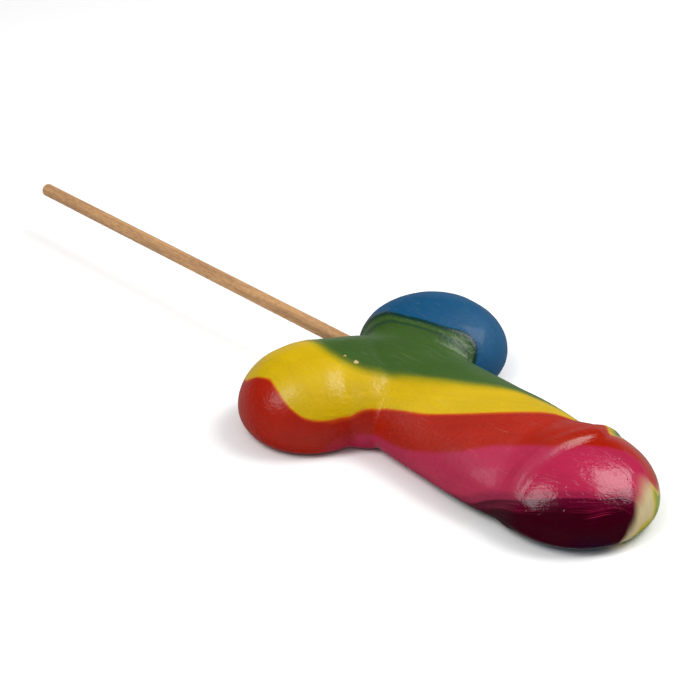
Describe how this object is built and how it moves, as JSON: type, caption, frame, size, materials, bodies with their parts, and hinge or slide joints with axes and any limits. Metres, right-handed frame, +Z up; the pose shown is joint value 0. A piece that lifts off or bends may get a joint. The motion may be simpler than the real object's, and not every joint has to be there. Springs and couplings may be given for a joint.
{
  "type": "novelty lollipop",
  "caption": "Striped hard-candy lollipop in an adult novelty shape, with a ribbed head, two lobes and a flat underside, on a round wooden stick.",
  "frame": {"origin": "middle of the whole object's box, at the height of its flat underside", "axes": "+X along the stick and the candy, towards the candy's tip; +Z up, away from the flat underside"},
  "size_m": [0.2414, 0.0828, 0.0208],
  "materials": {
    "candy": "gloss",
    "wood": "matte"
  },
  "bodies": {
    "root": {"candy": "candy", "stick": "wood"}
  },
  "joints": []
}
